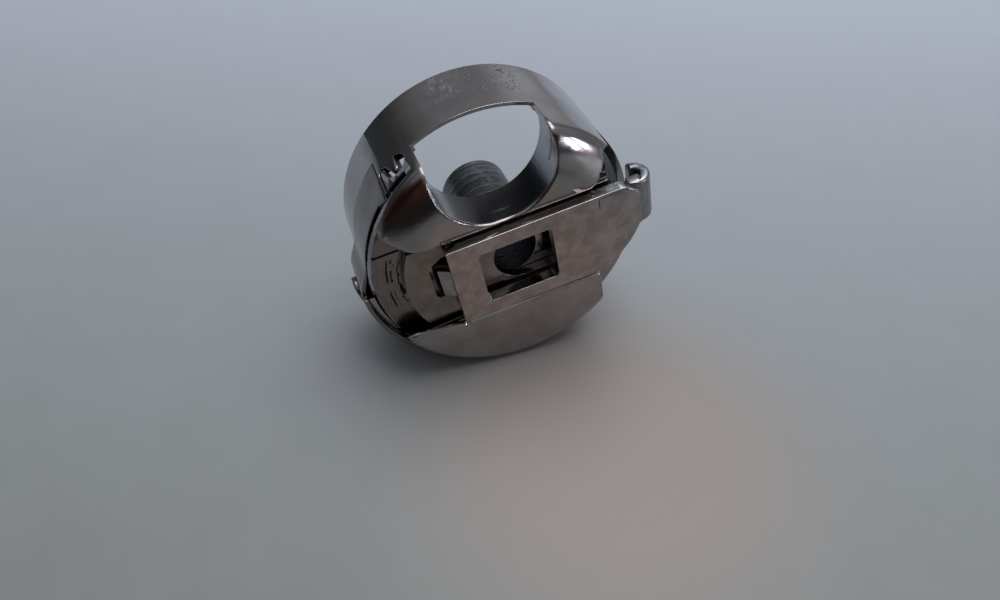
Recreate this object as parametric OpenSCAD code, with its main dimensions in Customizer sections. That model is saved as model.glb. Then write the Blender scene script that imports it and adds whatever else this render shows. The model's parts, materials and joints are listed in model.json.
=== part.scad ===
// Bobbin case for a lockstitch sewing machine: a turned steel cup with a centre
// post, a spring-loaded latch across its front face and a tension spring on its wall.
//
// Every piece is drawn in the case frame: x runs along the latch towards its tab,
// y runs up towards the window, z points out of the front face, and the front face
// is z = 0. standing() then turns the whole case onto its side, as it rests on a table.

/* [Case] */
// Depth from the front face to the rear rim
case_depth = 11.2; // [9.6:0.1:13]
// Bore of the bobbin chamber
chamber_d = 21.5; // [20.5:0.05:22.5]
// Thickness of the cup's wall
wall_t = 0.65; // [0.5:0.05:0.9]
// Thickness of the front plate
plate_t = 3.9; // [3.4:0.1:4.4]
// Rounding of the lower front edge
edge_r = 1.2; // [0.6:0.1:1.4]
// Radius at which the upper face starts to dome away
dome_flat_r = 7.4; // [7:0.1:8]
// Radius of that dome
dome_r = 7; // [6.5:0.1:8]

/* [Centre post] */
// Outside diameter of the post that the bobbin turns on
post_d = 5.8; // [5.6:0.05:6]
// Bore for the hook's stud
stud_bore_d = 4.8; // [4.4:0.05:5]
// How far the post ends short of the rear rim
post_setback = 0.65; // [0.3:0.05:1.5]
// Width of the collar at the post's root, which centres the idle-prevention spring
collar_w = 0.25; // [0.2:0.05:0.3]

/* [Window] */
// Radius of the thread window
window_r = 4.9; // [4.2:0.1:5.2]
// Height of the window's centre above the case axis
window_y = 9.1; // [8.8:0.1:10]
// Depth of the window's cut behind the front face
window_depth = 4.7; // [4.4:0.1:5.6]

/* [Latch channel] */
// Width of the channel that the lever lies in
channel_w = 8; // [7.6:0.1:8.2]
// Depth of the channel floor below the front face
channel_depth = 1.5; // [1.4:0.05:1.7]
// Depth of the dovetail groove into each channel wall
undercut_w = 0.55; // [0.4:0.05:0.7]
// Height of that groove
undercut_h = 0.5; // [0.4:0.05:0.6]
// Bevel along the top edges of the channel
channel_bevel = 0.25; // [0.1:0.05:0.3]
// Width of the shelf along the channel's lower side
shelf_w = 0.8; // [0.6:0.05:1]
// Depth of that shelf below the front face
shelf_depth = 0.7; // [0.5:0.05:0.8]
// Running gap between parts that slide or turn past each other
running_gap = 0.05; // [0.03:0.01:0.08]

/* [Latch lever] */
// Thickness of the lever plate
lever_t = 1; // [0.8:0.05:1.1]
// Gap between the lever and each wall of the channel
lever_gap = 0.15; // [0.1:0.05:0.25]
// How far the lever stands above the front face
lever_rise = 0.8; // [0.7:0.05:1]
// Distance of the lever's hinged edge from the case axis
lever_back = 5.2; // [5:0.05:5.3]
// Distance of the tab's outermost point from the case axis
lever_reach = 12.15; // [11.8:0.05:12.3]
// Length of the lever's window
lever_window_l = 6.1; // [5.5:0.1:6.3]
// Height of the lever's window
lever_window_h = 5.1; // [4.6:0.1:5.2]
// How far the lever opens
lever_open = 90; // [60:5:90]

/* [Latch slide] */
// Thickness of the slide
slide_t = 0.85; // [0.8:0.05:0.9]
// Travel of the slide when the lever opens
slide_travel = 0.9; // [0.7:0.05:0.95]
// Radius of the slide's rounded end about the case axis
slide_end_r = 8.85; // [8.4:0.05:9]

/* [Hinge] */
// Diameter of the lever's hinge pin
hinge_d = 0.6; // [0.5:0.05:0.64]
// Diameter of the knuckle around it
knuckle_d = 1; // [0.9:0.05:1.04]

/* [Latch spring] */
// Outside diameter of the coil
coil_d = 0.95; // [0.8:0.05:1]
// Diameter of its wire
coil_wire = 0.17; // [0.14:0.01:0.2]
// Number of turns
coil_turns = 11; // [8:1:14]

/* [Thread path] */
// Distance of the thread groove's front edge behind the front face
groove_front = 2.1; // [1.8:0.05:2.2]
// Width of the thread groove
groove_w = 0.65; // [0.5:0.05:0.9]
// Width of the thread slit in the wall
slit_w = 0.45; // [0.35:0.05:0.6]
// Radius of the thread eye
eye_r = 1; // [0.8:0.05:1.1]

/* [Tension spring] */
// Thickness of the leaf
leaf_t = 0.33; // [0.25:0.01:0.35]
// Width of the leaf
leaf_w = 4.2; // [3.6:0.1:4.6]
// Angle at which the leaf's free end starts
leaf_start = 133.1; // [133:0.1:138]
// Angle at which the leaf's screwed end stops
leaf_end = 237.18; // [236:0.02:242]
// Height of the boss that the leaf is screwed to, above the wall
boss_h = 0.55; // [0.4:0.05:0.6]

/* [Screws] */
// Diameter of the screws' thread
screw_d = 1.4; // [1.2:0.1:1.6]
// Diameter of the adjusting screw's head
adjust_head_d = 2.2; // [2:0.1:2.6]
// Height of the adjusting screw's head
adjust_head_h = 0.35; // [0.3:0.05:0.5]
// Diameter of the fixing screw's head
fixing_head_d = 2.1; // [1.9:0.1:2.2]
// Height of the fixing screw's head
fixing_head_h = 0.42; // [0.35:0.01:0.46]

/* [Idle-prevention spring] */
// Thickness of the spring's sheet
idle_t = 0.2; // [0.15:0.01:0.25]
// Height of the spring's free end above the chamber floor
idle_rise = 0.9; // [0.5:0.1:1.2]

/* [Hidden] */
$fn = 96;

steel = [0.66, 0.64, 0.62];
bright_steel = [0.78, 0.77, 0.75];
spring_steel = [0.55, 0.56, 0.58];
screw_steel = [0.45, 0.45, 0.46];

chamber_r = chamber_d / 2;
case_r = chamber_r + wall_t;
over = 1;                                  // how far a cut runs past a face
window_x = 0.15;
groove_stop = [window_x - 2.5, window_x + 2.5]; // stretch that the upper dovetail groove leaves whole
hair = 0.02;                               // fit gap between pieces of one body
rim_chamfer = 0.2;
post_chamfer = 0.25;
collar_r = post_d / 2 + collar_w;
collar_h = idle_t + idle_rise + 0.2;

// Latch levels, measured along z
slide_top = -channel_depth + running_gap + slide_t;
slide_bottom = slide_top - slide_t;
flange_h = undercut_h - 2 * running_gap;
flange_w = undercut_w - 2 * running_gap;
lever_top = lever_rise;
lever_bottom = lever_rise - lever_t;
lever_w = channel_w - 2 * lever_gap;
lever_window_x = 0.2;
slide_w = channel_w - 2 * running_gap;

// Hinge of the lever on the slide
hinge_x = -lever_back + knuckle_d / 2;
hinge_z = slide_top + running_gap + knuckle_d / 2;
ear_w = 0.65;
ear_y = 2.7;                               // inner face of each ear
heel_half_w = 1.4;
pin_half_l = lever_w / 2 - 0.15;

// The hole in the slide that grips the stud's neck
grip_r = stud_bore_d / 2;
grip_x = slide_travel - hair;
grip_l = 2.1;

// Bent finger on the slide that keeps the bobbin in when the lever is open
finger_y0 = -1.75;
finger_y1 = -0.6;
curl_y = -0.3;                             // lower end of the lever's curled tab
curl_r = 1.35;
curl_t = 0.8;
finger_t = 0.4;
finger_out = case_r - running_gap;
nib_reach = 0.28;
nib_z = -plate_t - 1.65;

// Thin lip of the wall behind the window
lip_t = 0.28;
lip_l = 0.9;
lip_a = [62.5, 114.5];

// Shelf along the channel: it narrows towards the hinge end
shelf_bend = -5;
shelf_slope = 0.27;

// Relief at the tab end of the channel
relief_x = 9;
relief_depth = 3.6;
relief_side = 0.5;                         // how far the relief is wider than the channel
relief_y1 = channel_w / 2 + 2.35;          // upper end of the relief
finger_gap = 0.2;
mouth_r = 2.55;
mouth_x = 6.2;
flare_r = 4.6;
flare_x = -5.5;
chord_x = 7;
chord_depth = 2;

// Pocket in the floor for the lever's heel
pocket_x0 = -6.8;
pocket_x1 = -4.25;
pocket_depth = 0.75;

// Taper of the floor's rim between two angles
rim_taper = 0.28;
rim_taper_a = [146, 201];

// Groove in the floor for the latch spring
coil_y = -3.3;
coil_x0 = -4.95;
coil_x1 = 0.5;
coil_gap = 0.06;                           // clearance all round the coil
coil_groove_w = coil_d + 2 * coil_gap;
coil_z = slide_bottom - 2 * running_gap - coil_d / 2;
lug_l = 0.55;

// Tension spring and its seat
leaf_front = -groove_front - groove_w;
seat_r = case_r - leaf_t + hair / 2;
boss_r = case_r + boss_h;
leaf_rise = [168, 183];                    // angles over which the leaf climbs onto its boss
seat_to = 175;
seat_play = 0.1;
boss_from = leaf_rise[1] + 1.5;
boss_to = leaf_end - 0.3;
tip_a = 7;                                 // angle that the leaf's pointed tip takes up
tip_lean = 60;                             // slant of the tip's cut
tip_nose = 0.4;                            // width left at the tip's point
tip_play = 0.4;                            // angle that the seat runs past the tip
foot_from = leaf_rise[1] - 1;              // where the leaf widens to cover the groove
adjust_a = 188.5;
fixing_a = 226;
adjust_z = -5.5;
screw_z = leaf_front - leaf_w / 2;
screw_hole_d = screw_d + 2 * running_gap;
leaf_hole_play = 0.3;
slot_w = 0.3;
tip_gap = 0.1;                             // how far a screw ends short of the chamber

groove_depth = 1.2;
eye_a = 126;                               // angle of the thread eye's cutter
groove_from = 121;
slit_a = 209.3;
slit_leg = 2;

// The case rests on its rim and on the screwed end of the leaf
foot_r = boss_r + hair + leaf_t;
wall_cut_l = foot_r + over - (chamber_r - over);
stand_roll = 270 - leaf_end - acos(case_r / foot_r);

// ---------------------------------------------------------------- helpers

module standing()
    rotate([0, -stand_roll, 0]) rotate([90, 0, 0]) translate([0, 0, plate_t]) children();

// Ring sector between two radii, heights and angles
module sector(r0, r1, z0, z1, a0, a1)
    translate([0, 0, z0]) rotate([0, 0, a0]) rotate_extrude(angle = a1 - a0)
        translate([r0, 0]) square([r1 - r0, z1 - z0]);

// Box given by two corners
module box(p, q) translate(p) cube(q - p);

// Turns a cutter's z axis to point out of the wall at an angle and a depth
module on_wall(a, z) rotate([0, 0, a]) translate([0, 0, z]) rotate([90, 0, 90]) children();

// ---------------------------------------------------------------- case body

// Half section of the plate with its lower, tightly rounded edge
module plate_profile() difference() {
    translate([0, -plate_t]) square([case_r, plate_t]);
    translate([case_r - edge_r, -edge_r]) difference() {
        square(edge_r + over);
        circle(edge_r);
    }
}

// Half section of the plate with its upper, domed edge
module dome_profile() {
    run = case_r - edge_r - dome_flat_r;
    drop = sqrt(pow(dome_r - edge_r, 2) - pow(run, 2));
    tangent = dome_flat_r + run * dome_r / (dome_r - edge_r);
    intersection() {
        translate([0, -plate_t]) square([case_r, plate_t]);
        union() {
            translate([0, -plate_t]) square([dome_flat_r, plate_t]);
            intersection() {
                translate([dome_flat_r, -dome_r]) circle(dome_r);
                translate([dome_flat_r, -plate_t]) square([tangent - dome_flat_r, plate_t]);
            }
            translate([case_r - edge_r, drop - dome_r]) circle(edge_r);
            translate([dome_flat_r, -plate_t]) square([case_r - dome_flat_r, plate_t + drop - dome_r]);
        }
    }
}

module plate() {
    split = channel_w / 2;
    intersection() {
        rotate_extrude() plate_profile();
        box([-case_r - over, -case_r - over, -plate_t - over], [case_r + over, split, over]);
    }
    intersection() {
        rotate_extrude() dome_profile();
        box([-case_r - over, split, -plate_t - over], [case_r + over, case_r + over, over]);
    }
}

module cup_wall() difference() {
    sector(chamber_r, case_r, -case_depth, -plate_t + over / 2, 0, 360);
    translate([0, 0, -case_depth - hair]) difference() {
        cylinder(r = case_r + over, h = rim_chamfer);
        cylinder(r1 = case_r - rim_chamfer, r2 = case_r, h = rim_chamfer);
    }
}

module post() {
    end_z = -case_depth + post_setback;
    difference() {
        translate([0, 0, end_z]) cylinder(d = post_d, h = -plate_t + over - end_z);
        translate([0, 0, end_z - hair]) difference() {
            cylinder(d = post_d + over, h = post_chamfer);
            cylinder(d1 = post_d - 2 * post_chamfer, d2 = post_d, h = post_chamfer);
        }
    }
    translate([0, 0, -plate_t - collar_h]) cylinder(r = collar_r, h = collar_h + over);
}

// Outline of the channel, with its flared end and its rounded mouth
module channel_outline() {
    half = channel_w / 2;
    far = case_r + over;
    translate([-far, -half]) square([2 * far, channel_w]);
    difference() {
        translate([-far, 0]) square([far + flare_x, half + flare_r]);
        translate([flare_x, half + flare_r]) circle(flare_r);
    }
    difference() {
        translate([mouth_x, 0]) square([far - mouth_x, half + mouth_r]);
        translate([mouth_x, half + mouth_r]) circle(mouth_r);
        translate([mouth_x, half + mouth_r]) square([mouth_r, over]);
    }
}

module channel_cut() {
    translate([0, 0, -channel_depth]) linear_extrude(channel_depth + over) channel_outline();
    reach = channel_w / 2 + undercut_w;
    difference() {
        box([-case_r - over, -reach, -channel_depth], [relief_x, reach, -channel_depth + undercut_h]);
        box([groove_stop[0], channel_w / 2, -channel_depth - over], [groove_stop[1], reach + over, over]);
    }
    edge_bevel([-case_r - over, channel_w / 2], [case_r + over, channel_w / 2]);
    shelf = [shelf_y(-case_r - over), shelf_y(shelf_bend), shelf_y(case_r + over)];
    translate([0, 0, -shelf_depth]) linear_extrude(shelf_depth + over)
        polygon(concat(shelf, [[case_r + over, 0], [-case_r - over, 0]]));
    edge_bevel(shelf[0], shelf[1]);
    edge_bevel(shelf[1], shelf[2]);
}

// Edge of the shelf at a place along it: straight beside the lever, then narrowing
function shelf_y(x) = [x, -channel_w / 2 - shelf_w + max(0, shelf_bend - x) * shelf_slope];

// Bevels an edge of the front face between two points
module edge_bevel(p, q) {
    run = norm(q - p) + 2 * channel_bevel;
    translate([(p[0] + q[0]) / 2, (p[1] + q[1]) / 2, 0]) rotate([0, 0, atan2(q[1] - p[1], q[0] - p[0])])
        rotate([45, 0, 0]) cube([run, channel_bevel * sqrt(2), channel_bevel * sqrt(2)], center = true);
}

// Opening at the tab end: through the plate under the tab, shallow below it
module tab_relief() {
    relief_y0 = -channel_w / 2 - relief_side;
    box([relief_x, relief_y0, -relief_depth], [case_r + 2 * over, relief_y1, over]);
    intersection() {
        box([relief_x, relief_y0, -plate_t - over], [case_r, relief_y1, over]);
        cylinder(r = chamber_r, h = 3 * plate_t, center = true);
    }
    box([chord_x, -case_r - over, -chord_depth], [case_r + over, relief_y0 + 2 * relief_side, over]);
    box([chamber_r - over, finger_y0 - finger_gap, nib_z - finger_gap],
        [case_r + over, finger_y1 + finger_gap, over]);
}

module window_cut() translate([window_x, window_y, 0]) {
    translate([0, 0, -window_depth]) cylinder(r = window_r, h = window_depth + over);
    translate([0, 0, -window_depth]) box([-window_r, 0, 0], [window_r, case_r, window_depth + over]);
}

// The wall is thinned behind the window so that the thread bends round a fine lip
module window_lip()
    sector(chamber_r - over, case_r - lip_t, -window_depth - lip_l, -window_depth + hair, lip_a[0], lip_a[1]);

module heel_pocket()
    box([pocket_x0, -heel_half_w - 0.15, -channel_depth - pocket_depth], [pocket_x1, heel_half_w + 0.15, 0]);

module coil_groove()
    box([coil_x0 - hair, coil_y - coil_groove_w / 2, coil_z - coil_groove_w / 2],
        [coil_x1 + lug_l + running_gap, coil_y + coil_groove_w / 2, -channel_depth + hair]);

// Hooked slot and eye that the thread is drawn through; x is along the wall, y is depth
module eye_outline() {
    leg_w = 0.24;
    leg_x = -1.12;                         // middle of the slot's straight leg
    turn_y = -4.82;                        // middle of the turn at its end
    turn_r = 0.34;
    eye = [0.45, -4.23];
    tongue = [0.3, -3.98];                 // middle of the tongue's round tip
    tongue_w = 0.64;
    translate([leg_x - leg_w / 2, turn_y]) square([leg_w, -turn_y - groove_front - over / 20]);
    translate([leg_x + turn_r, turn_y]) difference() {
        circle(turn_r + leg_w / 2);
        circle(turn_r - leg_w / 2);
        translate([-over, 0]) square([2 * over, over]);
    }
    translate([leg_x + 2 * turn_r - leg_w / 2, turn_y - hair]) square([leg_w, 0.75]);
    difference() {
        translate(eye) circle(eye_r);
        polygon([[eye[0] - 0.85, eye[1] - eye_r - over], [tongue[0] + tongue_w / 2, eye[1] - eye_r - over],
                 [tongue[0] + tongue_w / 2, tongue[1]], [tongue[0] - tongue_w / 2, tongue[1]],
                 [eye[0] - 0.75, turn_y]]);
        translate(tongue) circle(tongue_w / 2);
    }
}

module thread_path_cuts() {
    sector(case_r - groove_depth, case_r + over, leaf_front, -groove_front, groove_from, leaf_end + 1);
    on_wall(eye_a, 0) translate([0, 0, case_r - groove_depth]) linear_extrude(2 * over + groove_depth)
        mirror([1, 0]) eye_outline();
    on_wall(slit_a, 0) translate([0, 0, chamber_r - over]) linear_extrude(wall_cut_l) {
        translate([-slit_w / 2, -case_depth - over]) square([slit_w, case_depth + over + leaf_front - leaf_w / 2]);
        translate([-slit_w / 2 - slit_leg, leaf_front - leaf_w / 2 - slit_w]) square([slit_leg + slit_w, slit_w]);
        translate([-slit_w / 2 - slit_leg, leaf_front - (leaf_w + slit_w) / 2]) circle(slit_w / 2);
    }
}

// The leaf lies in a shallow seat, and the boss gives its screws enough thread
module leaf_seat()
    sector(seat_r, case_r + over, leaf_front - leaf_w - seat_play, leaf_front + hair,
           leaf_start - tip_play, seat_to);
module leaf_boss()
    sector(case_r - wall_t / 2, boss_r, leaf_front - leaf_w - 3 * seat_play, leaf_front - running_gap,
           boss_from, boss_to);

// The rim of the channel's floor tapers towards the thread groove
module floor_rim_taper() rotate([0, 0, rim_taper_a[0]]) rotate_extrude(angle = rim_taper_a[1] - rim_taper_a[0])
    polygon([[case_r - rim_taper, -channel_depth + over], [case_r - rim_taper, -channel_depth],
             [case_r, -groove_front], [case_r + over, -groove_front], [case_r + over, -channel_depth + over]]);

module screw_hole(a, z, d) on_wall(a, z) translate([0, 0, chamber_r - over]) cylinder(d = d, h = wall_cut_l);

module case_body() color(steel) difference() {
    union() {
        plate();
        cup_wall();
        post();
        leaf_boss();
    }
    channel_cut();
    tab_relief();
    window_cut();
    window_lip();
    heel_pocket();
    coil_groove();
    thread_path_cuts();
    leaf_seat();
    floor_rim_taper();
    screw_hole(adjust_a, adjust_z, screw_hole_d);
    screw_hole(fixing_a, screw_z, screw_hole_d);
    translate([0, 0, -case_depth - over]) cylinder(d = stud_bore_d, h = case_depth + 2 * over);
}

// ---------------------------------------------------------------- latch

module slide_outline() intersection() {
    translate([-case_r, -slide_w / 2]) square([case_r + relief_x - 0.2, slide_w]);
    union() {
        circle(slide_end_r);
        translate([0, -slide_w / 2]) square([case_r, slide_w]);
    }
}

module flange_outline() difference() {
    intersection() {
        translate([-case_r, -channel_w / 2 - flange_w]) square([case_r + relief_x - 0.2, channel_w + 2 * flange_w]);
        union() {
            circle(slide_end_r);
            translate([0, -case_r]) square([case_r, 2 * case_r]);
        }
    }
    translate([groove_stop[0] - 2 * running_gap, slide_w / 2])
        square([groove_stop[1] - groove_stop[0] + slide_travel + 4 * running_gap, undercut_w]);
}

module heel_hole_outline()
    polygon([[-6.7, -1.2], [-6.4, -1.5], [-3.25, -1.5], [-3.25, 2.5], [-5.5, 2.5], [-6.7, 1.8]]);

module grip_outline() {
    translate([grip_x, 0]) circle(grip_r);
    translate([grip_x, -grip_r]) square([grip_l, 2 * grip_r]);
    translate([grip_x + grip_l, 0]) circle(grip_r);
}

module finger() {
    box([relief_x - 1, finger_y0, slide_bottom], [finger_out, finger_y1, slide_bottom + finger_t]);
    box([finger_out - finger_t, finger_y0, nib_z], [finger_out, finger_y1, slide_bottom + finger_t]);
    box([finger_out - finger_t - nib_reach, finger_y0, nib_z], [finger_out, finger_y1, nib_z + finger_t]);
}

module latch_slide() color(bright_steel) {
    difference() {
        union() {
            translate([0, 0, slide_bottom]) linear_extrude(slide_t) slide_outline();
            translate([0, 0, slide_bottom]) linear_extrude(flange_h) flange_outline();
            for (side = [-1, 1]) translate([hinge_x, side * (ear_y + ear_w / 2), 0]) {
                translate([0, 0, hinge_z]) rotate([90, 0, 0]) cylinder(d = knuckle_d, h = ear_w, center = true);
                translate([0, 0, (hinge_z + slide_top) / 2])
                    cube([knuckle_d, ear_w, hinge_z - slide_top], center = true);
            }
            box([coil_x1, coil_y - coil_d / 2, coil_z - coil_d / 2 + 2 * running_gap],
                [coil_x1 + lug_l, coil_y + coil_d / 2, slide_top]);
            finger();
        }
        translate([0, 0, slide_bottom - over]) linear_extrude(slide_t + 2 * over) heel_hole_outline();
        translate([0, 0, slide_bottom - over]) linear_extrude(slide_t + 2 * over) grip_outline();
        translate([hinge_x, 0, hinge_z]) rotate([90, 0, 0])
            cylinder(d = hinge_d + hair, h = channel_w, center = true);
    }
}

// Outline of the lever plate: square at the hinge, swept away below the tab
module lever_outline() {
    sweep_r = 7.4;
    sweep = [3.9, 2.9];
    corner_r = 1.7;                        // rounding of the plate's corner beside the curl
    tab_x = lever_reach - curl_r;
    difference() {
        translate([-lever_back, -lever_w / 2]) square([lever_back + tab_x, lever_w]);
        difference() {
            translate([sweep[0] + 2, -lever_w / 2 - over]) square([sweep_r, lever_w / 2 + over + sweep[1]]);
            translate(sweep) circle(sweep_r);
        }
        translate([tab_x - corner_r, lever_w / 2 - corner_r]) difference() {
            square(corner_r + over);
            circle(corner_r);
        }
    }
}

module lever_window_outline() {
    corner_r = 0.45;
    l = lever_window_l;
    h = lever_window_h;
    translate([lever_window_x, 0]) difference() {
        square([l, h], center = true);
        for (sx = [-1, 1], sy = [-1, 1]) translate([sx * (l / 2 - corner_r), sy * (h / 2 - corner_r)])
            difference() {
                translate([sx > 0 ? 0 : -corner_r - over, sy > 0 ? 0 : -corner_r - over]) square(corner_r + over);
                circle(corner_r);
            }
    }
}

// The tab's end curls back into the relief
module tab_curl() {
    curl_x = lever_reach - curl_r;
    curl_z = lever_top - curl_r;
    translate([curl_x, lever_w / 2, curl_z]) rotate([90, 0, 0]) linear_extrude(lever_w / 2 - curl_y)
        difference() {
            circle(curl_r);
            circle(curl_r - curl_t);
            translate([-curl_r - over, -curl_r - over]) square([curl_r + over, 2 * curl_r + 2 * over]);
        }
    intersection() {
        translate([curl_x - curl_t, 0, lever_bottom]) linear_extrude(lever_t)
            translate([0, curl_y]) square([1.5 * curl_t, lever_w / 2 - curl_y]);
        translate([curl_x, 0, curl_z]) rotate([90, 0, 0]) cylinder(r = curl_r, h = 2 * lever_w, center = true);
    }
}

module heel() {
    translate([hinge_x, 0, hinge_z]) rotate([90, 0, 0]) linear_extrude(2 * heel_half_w, center = true)
        polygon([[0, 0.45], [-0.45, 0.15], [-1.4, -0.45], [-1.55, -1.15], [-1, -1.25], [0.1, -0.45]]);
}

module latch_lever() color(steel) {
    slot_d = knuckle_d + 2 * running_gap;
    difference() {
        union() {
            difference() {
                translate([0, 0, lever_bottom]) linear_extrude(lever_t) lever_outline();
                box([-lever_back - over, -lever_w, lever_bottom - over], [hinge_x, lever_w, hinge_z]);
            }
            translate([hinge_x, 0, hinge_z]) rotate([90, 0, 0])
                cylinder(d = knuckle_d, h = lever_w, center = true);
            heel();
            tab_curl();
        }
        translate([0, 0, lever_bottom - over]) linear_extrude(lever_t + 2 * over) lever_window_outline();
        for (side = [-1, 1]) translate([0, side * (ear_y + ear_w / 2), 0])
            box([-lever_back - over, -ear_w / 2 - running_gap, slide_top - over],
                [hinge_x + slot_d / 2, ear_w / 2 + running_gap, hinge_z + slot_d / 2]);
        translate([hinge_x, 0, hinge_z]) rotate([90, 0, 0])
            cylinder(d = hinge_d + 2 * running_gap, h = 2 * lever_w, center = true);
    }
}

module lever_hinge_pin() color(bright_steel)
    translate([hinge_x, 0, hinge_z]) rotate([90, 0, 0]) cylinder(d = hinge_d, h = 2 * pin_half_l, center = true);

// Closed tube along a helix around x
module coil(x0, x1, r, wire_r, turns, sides = 8, per_turn = 20) {
    rings = turns * per_turn;
    points = [for (i = [0:rings], j = [0:sides - 1])
        let (a = 360 * i / per_turn, b = 360 * j / sides,
             x = x0 + (x1 - x0) * i / rings, q = r + wire_r * cos(b))
        [x + wire_r * sin(b), q * cos(a), q * sin(a)]];
    skin = [for (i = [0:rings - 1], j = [0:sides - 1])
        let (k = (j + 1) % sides)
        [i * sides + j, i * sides + k, (i + 1) * sides + k, (i + 1) * sides + j]];
    start = [[for (j = [sides - 1:-1:0]) j]];
    end = [[for (j = [0:sides - 1]) rings * sides + j]];
    polyhedron(points, concat(skin, start, end));
}

module latch_spring() color(spring_steel) translate([0, coil_y, coil_z])
    coil(coil_x0 + coil_wire / 2 + hair, coil_x1 - coil_wire / 2 - hair,
         (coil_d - coil_wire) / 2, coil_wire / 2, coil_turns);

// ---------------------------------------------------------------- tension spring

// Smooth step from 0 to 1 over a range
function ease(a, range) =
    let (t = min(1, max(0, (a - range[0]) / (range[1] - range[0]))))
    t * t * (3 - 2 * t);

// Inner radius of the leaf: in its seat, then up on its boss
function leaf_r(a) = seat_r + hair + (boss_r - seat_r) * ease(a, leaf_rise);

module leaf_strip(z0, z1, a0, a1) {
    step = 1.5;
    steps = ceil((a1 - a0) / step);
    angles = [for (i = [0:steps]) a0 + (a1 - a0) * i / steps];
    inner = [for (a = angles) leaf_r(a) * [cos(a), sin(a)]];
    outer = [for (i = [steps:-1:0]) let (a = angles[i]) (leaf_r(a) + leaf_t) * [cos(a), sin(a)]];
    translate([0, 0, z0]) linear_extrude(z1 - z0) polygon(concat(inner, outer));
}

module tension_spring() color(steel) difference() {
    union() {
        leaf_strip(leaf_front - leaf_w, leaf_front, leaf_start, leaf_end);
        leaf_strip(leaf_front - groove_w, -groove_front - 0.05, foot_from, leaf_end);
        difference() {
            leaf_strip(leaf_front - groove_w, -groove_front - 0.1, leaf_start, leaf_start + tip_a);
            on_wall(leaf_start + tip_a - 1.5, leaf_front) rotate([0, 0, tip_lean]) translate([0, -tip_nose, 0])
                cube([leaf_w, leaf_w, 3 * case_r]);
        }
    }
    screw_hole(adjust_a, adjust_z, screw_d + leaf_hole_play);
    screw_hole(fixing_a, screw_z, screw_d + leaf_hole_play);
}

// Slotted screw whose head's underside is at radius seat
module slotted_screw(a, z, seat, head_d, head_h) on_wall(a, z) difference() {
    union() {
        translate([0, 0, chamber_r + tip_gap]) cylinder(d = screw_d, h = seat - chamber_r);
        translate([0, 0, seat]) cylinder(d = head_d, h = head_h);
    }
    translate([0, 0, seat + head_h]) cube([2 * head_d, slot_w, head_h], center = true);
}

module tension_adjusting_screw() color(screw_steel)
    slotted_screw(adjust_a, adjust_z, foot_r + running_gap, adjust_head_d, adjust_head_h);

module tension_fixing_screw() color(screw_steel)
    slotted_screw(fixing_a, screw_z, foot_r + hair, fixing_head_d, fixing_head_h);

// ---------------------------------------------------------------- idle prevention

// Thin ring round the post with a curved arm that lifts off the chamber floor
module idle_prevention_spring() color(spring_steel) {
    ring_r = collar_r + running_gap;
    ring_w = 1.1;
    arm_r = 6.8;
    arm_w = 1.3;
    arm_end = 330;                         // angle at which the arm's free end stops
    tilt = asin(idle_rise / (2 * arm_r));
    floor_z = -plate_t;
    difference() {
        translate([0, 0, floor_z - idle_t]) cylinder(r = ring_r + ring_w, h = idle_t);
        translate([0, 0, floor_z - over]) cylinder(r = ring_r, h = 2 * over);
    }
    translate([0, 0, floor_z - idle_t]) rotate([0, 0, 180])
        box([ring_r + ring_w - 3 * running_gap, -arm_w / 2, 0], [arm_r + arm_w / 2, arm_w / 2, idle_t]);
    outer = arm_r + arm_w / 2;
    translate([-outer, 0, floor_z - idle_t]) rotate([0, tilt, 0]) translate([outer, 0, 0])
        sector(arm_r - arm_w / 2, arm_r + arm_w / 2, 0, idle_t, 180, arm_end);
}

standing() {
    case_body();
    latch_slide();
    latch_lever();
    lever_hinge_pin();
    latch_spring();
    tension_spring();
    tension_adjusting_screw();
    tension_fixing_screw();
    idle_prevention_spring();
}
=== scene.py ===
"""Bobbin case of a lockstitch sewing machine, dressed in its real finishes and some painted shade
and highlights.

The case is a turned, bright steel cup that rests on its rim, with a pressed latch across its
front, leaf and coil springs and two slotted screws. Sizes are written in millimetres, and MM
turns them into the scene's metres.
"""

import json
import logging
import math
from collections.abc import Callable
from dataclasses import dataclass
from enum import Enum
from typing import Any

import bmesh
import bpy
from mathutils import Matrix, Vector

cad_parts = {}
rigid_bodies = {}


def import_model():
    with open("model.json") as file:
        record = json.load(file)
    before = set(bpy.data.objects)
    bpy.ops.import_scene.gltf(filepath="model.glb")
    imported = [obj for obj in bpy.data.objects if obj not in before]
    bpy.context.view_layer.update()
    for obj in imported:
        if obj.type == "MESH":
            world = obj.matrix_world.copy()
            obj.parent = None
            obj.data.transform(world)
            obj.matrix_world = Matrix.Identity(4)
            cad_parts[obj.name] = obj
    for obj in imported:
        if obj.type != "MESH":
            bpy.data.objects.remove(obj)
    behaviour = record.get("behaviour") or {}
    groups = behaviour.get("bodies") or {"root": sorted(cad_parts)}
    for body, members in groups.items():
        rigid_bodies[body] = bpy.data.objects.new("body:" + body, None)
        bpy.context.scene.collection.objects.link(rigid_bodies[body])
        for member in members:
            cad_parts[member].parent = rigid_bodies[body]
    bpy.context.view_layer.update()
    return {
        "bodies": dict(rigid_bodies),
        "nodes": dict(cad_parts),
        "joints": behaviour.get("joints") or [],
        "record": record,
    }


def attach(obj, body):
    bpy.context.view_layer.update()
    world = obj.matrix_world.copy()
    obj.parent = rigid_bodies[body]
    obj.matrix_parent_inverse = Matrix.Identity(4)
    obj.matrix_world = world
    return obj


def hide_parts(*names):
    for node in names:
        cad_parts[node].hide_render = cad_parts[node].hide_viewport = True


LOG = logging.getLogger("bobbin_case")
MM = 0.001
DEGREE = math.radians(1)
# The case stands on its rim, rolled by this much from upright.
CASE_ROLL = math.radians(10.767)
# Millimetres from the chamber's floor, which lies at y = 0, to the front face.
FLOOR_TO_FACE = 3.9
MATH = "ShaderNodeMath"
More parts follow.
